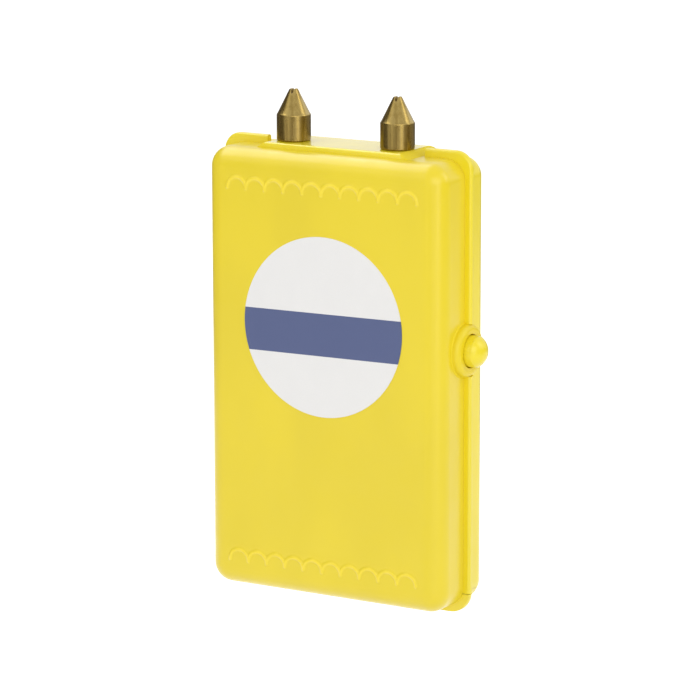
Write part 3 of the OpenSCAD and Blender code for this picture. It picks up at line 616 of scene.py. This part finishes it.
def close_collar_gap(bm):
    """Brings the ends of the tray's rim up to the button's collar."""
    reach = collar_radius + COLLAR_GAP
    for vert in bm.verts:
        away = Vector((0, vert.co.y - button_axis.y, vert.co.z - button_axis.z))
        if vert.co.x > front_high.x - TINY and abs(away.length - reach) < COLLAR_SINK:
            vert.co -= away.normalized() * (COLLAR_GAP + COLLAR_SINK)


def make_rear_tray():
    """Rear half of the case, its rim fuller at the top corners and brought up to the collar."""
    bm = solid_of("rear_tray")
    fill_rim_corners(bm)
    close_collar_gap(bm)
    soften(bm, CASE_EDGE, keep=at_seam)
    bmesh.ops.dissolve_degenerate(bm, dist=SLIVER, edges=bm.edges)
    piece("rear_tray_skin", bm, [lit_rear_plastic], "case", ["rear_tray"])


def make_battery_cover():
    """Slide-off cover, brought close to the front cover and to the tray above it."""
    bm = solid_of("battery_cover")
    rim_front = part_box("battery_cover")[0].y
    for vert in bm.verts:
        if vert.co.y < rim_front + TINY:
            vert.co.y = parting_y + PARTING_GAP
        if abs(vert.co.z - COVER_TOP) < TINY:
            vert.co.z = tray_low.z - SEAM_GAP
    soften(bm, CASE_EDGE, keep=at_seam)
    bmesh.ops.dissolve_degenerate(bm, dist=SLIVER, edges=bm.edges)
    piece("battery_cover_skin", bm, [lit_rear_plastic], "cover", ["battery_cover"])


# Label

BAND_TOP = 4.05 * MM
BAND_BOTTOM = -8.45 * MM
BAND_TILT = math.radians(-0.7)
LABEL_EDGE = 0.07 * MM
LABEL_ROUND_SHARE = 0.3
LABEL_SIDES = 256


def make_label():
    """Round film with a plain band across it."""
    centre = Vector(((label_low.x + label_high.x) / 2, label_low.y, (label_low.z + label_high.z) / 2))
    radius = (label_high.x - label_low.x) / 2
    thickness = label_high.y - label_low.y
    rounding = LABEL_EDGE * LABEL_ROUND_SHARE
    profile = [
        (radius, thickness),
        (radius, LABEL_EDGE),
        (radius - rounding, rounding),
        (radius - LABEL_EDGE, 0),
    ]
    rings = [circle(centre + BACK * depth, reach, RIGHT, UP, LABEL_SIDES) for reach, depth in profile]
    bm = bmesh.new()
    add_rings(bm, rings)
    across = Matrix.Rotation(BAND_TILT, 3, "Y") @ UP
    for height in (BAND_TOP, BAND_BOTTOM):
        geom = [*bm.verts, *bm.edges, *bm.faces]
        bmesh.ops.bisect_plane(bm, geom=geom, plane_co=centre + across * height, plane_no=across)
    for face in bm.faces:
        height = (face.calc_center_median() - centre).dot(across)
        face.material_index = 1 if BAND_BOTTOM < height < BAND_TOP else 0
    piece("label_film", bm, [white_film, blue_film], "case", ["label"])


# Electrodes and their block

POST_EDGE = 0.12 * MM
CONE_FOOT_EDGE = 0.3 * MM
CONE_FOOT_ANGLE = math.radians(20)
CONE_FOOT_SEGMENTS = 4


def make_electrodes():
    """Turned posts with a rounded ring where the cone meets the cylinder."""
    for node in ("electrode_left", "electrode_right"):
        low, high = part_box(node)
        radius = (high.x - low.x) / 2
        origin = Vector(((low.x + high.x) / 2, (low.y + high.y) / 2, 0))
        bm = solid_of(node)
        cone_foot = max(v.co.z for v in bm.verts if (v.co - origin).xy.length > radius - TINY)
        away = {e for e in bm.edges if any(abs(v.co.z - cone_foot) > TINY for v in e.verts)}
        soften(bm, CONE_FOOT_EDGE, CONE_FOOT_ANGLE, CONE_FOOT_SEGMENTS, keep=lambda edge: edge in away)
        soften(bm, POST_EDGE)
        piece(f"{node}_turned", bm, [brass], "case", [node], origin)


BLOCK_EDGE = 0.35 * MM
SHOULDER_EDGE = 1.0 * MM
SHOULDER_SEGMENTS = 5
SHOULDER_REACH = 22 * MM
END_LEAN = 0.1


def off_block_shoulder(edge):
    """False for the edges where the block's flat top turns down to its ends."""
    return any(vert.co.z <= block_top - TINY or abs(vert.co.x) <= SHOULDER_REACH for vert in edge.verts)


def at_block_foot(edge):
    """True for the block's edges on the top of the case."""
    return all(abs(vert.co.z - front_high.z) < SEAM_REACH for vert in edge.verts)


def make_block():
    """Electrode block: polished on its flat top, with rounder shoulders and duller ends."""
    bm = solid_of("electrode_block")
    soften(bm, SHOULDER_EDGE, segments=SHOULDER_SEGMENTS, keep=off_block_shoulder)
    soften(bm, BLOCK_EDGE, keep=at_block_foot)
    bm.normal_update()
    for face in bm.faces:
        face.material_index = 1 if abs(face.normal.x) > END_LEAN else 0
    materials = [block_plastic, dull_plastic]
    piece("electrode_block_skin", bm, materials, "case", ["electrode_block"])


# Button and its collar

COLLAR_EDGE = 0.22 * MM
BUTTON_EDGE = 0.25 * MM
FILLET_RADIUS = 0.6 * MM
FILLET_SINK = 0.04 * MM
FILLET_TOP_SHARE = 1.4
FILLET_STEPS = 8
FILLET_SIDES = 128


def at_collar_foot(edge):
    """True for the collar's edges on the side of the case."""
    return all(abs(vert.co.x - front_high.x) < SEAM_REACH for vert in edge.verts)


def make_collar_fillet():
    """Hollow round that blends the collar into the side of the case."""
    outer = collar_radius - FILLET_SINK
    inner = outer - FILLET_RADIUS
    top = FILLET_RADIUS * FILLET_TOP_SHARE
    profile = [(inner, 0)]
    for i in range(FILLET_STEPS + 1):
        turn = math.pi / 2 * i / FILLET_STEPS
        reach = outer + FILLET_RADIUS * (1 - math.sin(turn))
        profile.append((reach, FILLET_RADIUS * (1 - math.cos(turn))))
    profile += [(outer, top), (inner, top)]
    rings = []
    for reach, rise in profile:
        centre = button_axis + Vector((front_high.x + rise, 0, 0))
        rings.append(circle(centre, reach, BACK, UP, FILLET_SIDES))
    bm = bmesh.new()
    add_rings(bm, rings, closed=True)
    piece("button_collar_fillet", bm, [dull_plastic], "case")


def make_button():
    """Push button, and the collar that guides it."""
    softened("button_collar", COLLAR_EDGE, collar_plastic, "case", "case_plastic", keep=at_collar_foot)
    make_collar_fillet()
    softened("push_button", BUTTON_EDGE, button_plastic, "button", "case_plastic")


# Inner pieces

SPRING_TURNS = 5
SPRING_WIRE = 0.6 * MM
SPRING_SIDES = 12
RINGS_PER_TURN = 28


def make_spring():
    """Round-wire coil in the place of its CAD solid."""
    low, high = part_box("button_spring")
    wire = SPRING_WIRE / 2
    coil = (high.y - low.y) / 2 - wire
    start, end = low.x + wire, high.x - wire
    steps = SPRING_TURNS * RINGS_PER_TURN
    path = []
    for i in range(steps + 1):
        turn = 2 * math.pi * i / RINGS_PER_TURN
        along = start + (end - start) * i / steps
        side = Vector((0, math.cos(turn), math.sin(turn)))
        path.append(Vector((along, button_axis.y, button_axis.z)) + coil * side)
    bm = bmesh.new()
    add_rings(bm, tube_rings(path, wire, SPRING_SIDES))
    made = piece("button_spring_coil", bm, [spring_steel], "case", ["button_spring"])
    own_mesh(made)


LEAD_RADIUS = 0.8 * MM
LEAD_STEPS = 12
LEAD_SIDES = 16
LEADS = {
    # Points of each route in millimetres
    "electrode_lead_left": [
        (-19.9, -12, 32.4), (-19.9, -12, 37.4), (-18.9, -12, 42.4),
        (-14, -13.75, 49.5), (-10.5, -13.75, 54.5), (-10, -13.75, 59.5),
    ],
    "electrode_lead_right": [
        (-11.9, -12, 32.4), (-11.9, -12, 37.4), (-8.9, -12, 42.4),
        (3, -13.75, 49.5), (9, -13.75, 54.5), (10, -13.75, 59.5),
    ],
    "battery_lead_positive": [
        (-22.2, -15, -2.5), (-25, -15.6, -0.6), (-26.1, -16.8, 3), (-26.5, -18.2, 9),
    ],
    "battery_lead_negative": [
        (22.2, -15, -2.5), (20.5, -15.6, 0), (10.5, -16.8, 2.2), (5.5, -18.2, 4),
    ],
}


def make_leads():
    """Insulated wires along their routes; all are red but the one from the negative terminal."""
    for node, route in LEADS.items():
        path = smooth_path([Vector(point) * MM for point in route], LEAD_STEPS)
        bm = bmesh.new()
        add_rings(bm, tube_rings(path, LEAD_RADIUS, LEAD_SIDES))
        red = node != "battery_lead_negative"
        material, slot = (red_insulation, "lead_red") if red else (black_insulation, "lead_black")
        piece(f"{node}_wire", bm, [material], "case", [node])


WINDING_TURNS = 24
WINDING_WALL = 2.4 * MM
WINDING_CORNER = 1.6 * MM
BORE_CORNER = 0.3 * MM
WIRE_STEPS = 8
CORNER_STEPS = 6


def rounded_rectangle(centre, half_x, half_y, radius):
    """Points of a level rectangle with round corners."""
    points = []
    corners = ((1, 1), (-1, 1), (-1, -1), (1, -1))
    for quarter, (sign_x, sign_y) in enumerate(corners):
        for i in range(CORNER_STEPS + 1):
            turn = math.pi / 2 * (quarter + i / CORNER_STEPS)
            x = sign_x * (half_x - radius) + radius * math.cos(turn)
            y = sign_y * (half_y - radius) + radius * math.sin(turn)
            points.append(centre + Vector((x, y, 0)))
    return points


def make_winding():
    """Layer of wound wire, each turn a rounded rib, on the bobbin's core tube."""
    low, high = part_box("transformer_winding")
    centre = (low + high) / 2
    half = (high - low) / 2
    depth = (high.z - low.z) / WINDING_TURNS / 2
    steps = WINDING_TURNS * WIRE_STEPS
    rings = []
    for i in range(steps + 1):
        inset = depth * (1 - abs(math.sin(math.pi * i / WIRE_STEPS)))
        level = Vector((centre.x, centre.y, low.z + (high.z - low.z) * i / steps))
        rings.append(rounded_rectangle(level, half.x - inset, half.y - inset, WINDING_CORNER))
    for height in (high.z, low.z):
        level = Vector((centre.x, centre.y, height))
        rings.append(rounded_rectangle(level, half.x - WINDING_WALL, half.y - WINDING_WALL, BORE_CORNER))
    bm = bmesh.new()
    add_rings(bm, rings, closed=True)
    piece("transformer_winding_turns", bm, [copper], "case", ["transformer_winding"])


# Which way each cell's raised end points along Z
CELLS = {"cell_1": 1, "cell_2": -1, "cell_3": 1, "cell_4": -1}
CELL_SIDES = 96
CELL_PROFILE = [
    # Radius and height in millimetres, and the material of the step up to it: 0 steel, 1 black, 2 gold
    (0.0, 0.10, 0), (5.2, 0.10, 0), (5.5, 0.0, 0), (6.35, 0.0, 0), (6.60, 0.22, 0),
    (6.62, 0.30, 1), (6.95, 0.14, 1), (7.16, 0.24, 1), (7.25, 0.48, 1),
    (7.25, 34.0, 1), (7.25, 48.62, 2), (7.18, 48.92, 2), (6.98, 49.06, 2), (6.62, 49.0, 2),
    (6.45, 48.86, 0), (3.6, 48.90, 0), (3.05, 49.1, 0), (2.72, 49.5, 0),
    (2.70, 50.1, 0), (2.58, 50.36, 0), (2.30, 50.5, 0), (0.0, 50.5, 0),
]


def make_cells():
    """Round cells: a jacket with rolled ends over a steel can with a raised end."""
    for node, way in CELLS.items():
        low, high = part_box(node)
        foot = Vector(((low.x + high.x) / 2, (low.y + high.y) / 2, low.z if way > 0 else high.z))
        bm = bmesh.new()
        loops = []
        for radius, height, kind in CELL_PROFILE:
            level = foot + UP * way * height * MM
            ring = [level] if radius == 0 else circle(level, radius * MM, RIGHT, BACK, CELL_SIDES)
            loops.append(([bm.verts.new(point) for point in ring], kind))
        for (below, _), (above, kind) in zip(loops, loops[1:]):
            for i in range(CELL_SIDES):
                j = (i + 1) % CELL_SIDES
                low_pair = (below[i % len(below)], below[j % len(below)])
                high_pair = (above[j % len(above)], above[i % len(above)])
                bm.faces.new(list(dict.fromkeys(low_pair + high_pair))).material_index = kind
        materials = [steel, black_jacket, gold_jacket]
        piece(f"{node}_jacketed", bm, materials, "case", [node])


SOFT_EDGES = {
    # Width of the rounded edges in millimetres, material, and slot
    "case_screws": (0.15, steel, "plated_steel"),
    "board_screws": (0.12, steel, "plated_steel"),
    "electrode_nuts": (0.20, steel, "plated_steel"),
    "solder_tags": (0.10, steel, "plated_steel"),
    "positive_terminal": (0.08, steel, "plated_steel"),
    "negative_terminal": (0.08, steel, "plated_steel"),
    "upper_bridge": (0.08, steel, "plated_steel"),
    "lower_bridges": (0.08, steel, "plated_steel"),
    "switch_body": (0.30, black_plastic, "black_plastic"),
    "power_transistor": (0.25, black_plastic, "black_plastic"),
    "circuit_board": (0.10, board_mask, "board_laminate"),
    "transformer_core": (0.30, core_ferrite, "core_ferrite"),
    "transformer_bobbin": (0.15, bobbin_plastic, "bobbin_plastic"),
    "storage_capacitor": (0.80, red_plastic, "red_plastic"),
}
PLUNGER_EDGE = 0.2 * MM
PLAIN_NODES = {"diodes": black_plastic, "resistors": resistor_lacquer}


def make_fittings():
    """Screws, contacts, switch and board parts: rounded solids, and small ones that stay as they are."""
    for node, (width, material, slot) in SOFT_EDGES.items():
        softened(node, width * MM, material, "case", slot)
    softened("switch_plunger", PLUNGER_EDGE, red_plastic, "plunger", "red_plastic")
    for node, material in PLAIN_NODES.items():
        frame["nodes"][node].material_slots[0].material = material


# Stage

PHOTO_SIZE = 700
FOCAL_PIXELS = 3679.04
CAMERA_YAW = math.radians(30.896)
CAMERA_RISE = math.radians(11.547)
CAMERA_ROLL = math.radians(-0.085)
CAMERA_TARGET = Vector((0, -27.5, 5.95)) * MM
CAMERA_OFFSET = Vector((8.328, 2.994, 1060.06)) * MM
CAMERA_NEAR = 50 * MM
CAMERA_FAR = 20000 * MM
SENSOR = 36


def make_camera():
    """Camera at the photograph's viewing angle and distance."""
    yaw, rise, roll = CAMERA_YAW, CAMERA_RISE, CAMERA_ROLL
    right = Vector((math.cos(yaw), math.sin(yaw), 0))
    back = Vector((math.sin(yaw) * math.cos(rise), -math.cos(yaw) * math.cos(rise), math.sin(rise)))
    up = back.cross(right)
    eye = CAMERA_TARGET + right * CAMERA_OFFSET.x + up * CAMERA_OFFSET.y + back * CAMERA_OFFSET.z
    turned_right = math.cos(roll) * right + math.sin(roll) * up
    turned_up = math.cos(roll) * up - math.sin(roll) * right
    data = bpy.data.cameras.new("camera")
    data.sensor_width = SENSOR
    data.lens = FOCAL_PIXELS * SENSOR / PHOTO_SIZE
    data.clip_start = CAMERA_NEAR
    data.clip_end = CAMERA_FAR
    camera = bpy.data.objects.new("camera", data)
    turn = Matrix((turned_right, turned_up, back)).transposed().to_4x4()
    camera.matrix_world = Matrix.Translation(eye) @ turn
    bpy.context.scene.collection.objects.link(camera)
    bpy.context.scene.camera = camera


def seen_directly(tree):
    """Share that is 1 for what the camera sees itself, in a mirror or through glass."""
    path = tree.nodes.new("ShaderNodeLightPath")
    total = path.outputs["Is Camera Ray"]
    for name in ("Is Glossy Ray", "Is Transmission Ray"):
        larger = tree.nodes.new("ShaderNodeMath")
        larger.operation = "MAXIMUM"
        tree.links.new(total, larger.inputs[0])
        tree.links.new(path.outputs[name], larger.inputs[1])
        total = larger.outputs[0]
    return total


WHITE = (1, 1, 1, 1)
AMBIENT = 0.66


def make_world():
    """White surroundings, which give less light than they show."""
    world = bpy.data.worlds.new("white_surroundings")
    world.use_nodes = True
    bpy.context.scene.world = world
    tree = world.node_tree
    background = tree.nodes["Background"]
    background.inputs["Color"].default_value = WHITE
    strength = tree.nodes.new("ShaderNodeMapRange")
    strength.inputs["To Min"].default_value = AMBIENT
    strength.inputs["To Max"].default_value = 1.0
    tree.links.new(seen_directly(tree), strength.inputs["Value"])
    tree.links.new(strength.outputs["Result"], background.inputs["Strength"])


def stage_piece(name, mesh, material):
    """Links a mesh as a piece of the stage, which is no part of the object."""
    mesh.materials.append(material)
    made = bpy.data.objects.new(name, mesh)
    bpy.context.scene.collection.objects.link(made)
    return made


STAGE_ROUGHNESS = 0.9


def matt_material(name, colour):
    """Plain matt material for the stage."""
    material = bpy.data.materials.new(name)
    material.use_nodes = True
    bsdf = material.node_tree.nodes["Principled BSDF"]
    bsdf.inputs["Base Color"].default_value = (*colour, 1)
    bsdf.inputs["Roughness"].default_value = STAGE_ROUGHNESS
    return material


FLOOR_HALF_SIZE = 6000 * MM
FLOOR_SQUARES = 4
FLOOR_GAP = 0.5 * MM
FLOOR_COLOUR = (0.85, 0.85, 0.85)
FLOOR_GLOW = 0.55


def make_floor():
    """Pale floor just below the lowest point that the sliding cover reaches."""
    bm = bmesh.new()
    bmesh.ops.create_grid(bm, x_segments=FLOOR_SQUARES, y_segments=FLOOR_SQUARES, size=FLOOR_HALF_SIZE)
    bmesh.ops.translate(bm, verts=bm.verts, vec=(0, 0, lowest - FLOOR_GAP))
    mesh = bpy.data.meshes.new("floor")
    bm.to_mesh(mesh)
    bm.free()
    material = matt_material("pale_floor", FLOOR_COLOUR)
    tree = material.node_tree
    bsdf = tree.nodes["Principled BSDF"]
    bsdf.inputs["Emission Color"].default_value = WHITE
    glow = tree.nodes.new("ShaderNodeMapRange")
    glow.inputs["To Max"].default_value = FLOOR_GLOW
    tree.links.new(seen_directly(tree), glow.inputs["Value"])
    tree.links.new(glow.outputs["Result"], bsdf.inputs["Emission Strength"])
    stage_piece("floor", mesh, material)


DARK_PANEL = (0.16, 0.145, 0.12)
GREY_PANEL = (0.44, 0.41, 0.35)
WARM_PANEL = (0.26, 0.20, 0.07)
PANELS = {
    # Ends, seen from above, and top, in metres, and colour
    "left_panel": ((-0.50, -0.90), (-0.60, 0.50), 0.45, DARK_PANEL),
    "right_panel": ((0.70, -0.31), (0.70, 0.70), 0.20, WARM_PANEL),
    "rear_panel": ((0.70, 0.70), (-0.30, 1.05), 0.10, DARK_PANEL),
    "front_panel": ((-0.38, -0.84), (-0.155, -0.79), 0.08, GREY_PANEL),
    "middle_panel": ((0.013, -0.7525), (0.70, -0.60), 0.08, GREY_PANEL),
    "edge_panel": ((-0.35, 0.38), (0.10, 0.38), 0.0, GREY_PANEL),
}


def make_panels():
    """Upright dark, grey and warm panels, which show only as streaks in glossy surfaces."""
    for name, (start, end, high, colour) in PANELS.items():
        mesh = bpy.data.meshes.new(name)
        corners = [(*start, lowest), (*end, lowest), (*end, high), (*start, high)]
        mesh.from_pydata(corners, [], [(0, 1, 2, 3)])
        panel = stage_piece(name, mesh, matt_material(name, colour))
        panel.visible_camera = False
        panel.visible_diffuse = False
        panel.visible_shadow = False


LAMPS = {
    # Place in metres, width and height in metres, and power in watts
    "key": ((0.85, -0.85, 0.22), (1.2, 1.2), 6.3),
    "fill": ((-0.90, -0.70, 0.30), (1.4, 1.4), 2.7),
    "overhead": ((-0.50, 0.05, 0.80), (0.9, 0.26), 2.2),
    "side": ((0.80, 0.35, 0.55), (0.28, 0.6), 1.25),
}
LAMP_TARGET = Vector((0, -13, 0)) * MM


def make_lamps():
    """Soft rectangular lamps that face the middle of the case."""
    for name, (place, size, power) in LAMPS.items():
        data = bpy.data.lights.new(name, "AREA")
        data.shape = "RECTANGLE"
        data.size, data.size_y = size
        data.energy = power
        lamp = bpy.data.objects.new(name, data)
        lamp.location = place
        lamp.rotation_mode = "QUATERNION"
        lamp.rotation_quaternion = (LAMP_TARGET - Vector(place)).to_track_quat("-Z", "Y")
        bpy.context.scene.collection.objects.link(lamp)


make_camera()
make_front_cover()
make_rear_tray()
make_battery_cover()
make_label()
make_electrodes()
make_block()
make_button()
make_spring()
make_leads()
make_winding()
make_cells()
make_fittings()
make_world()
make_floor()
make_panels()
make_lamps()
bpy.context.scene.view_settings.view_transform = "Standard"
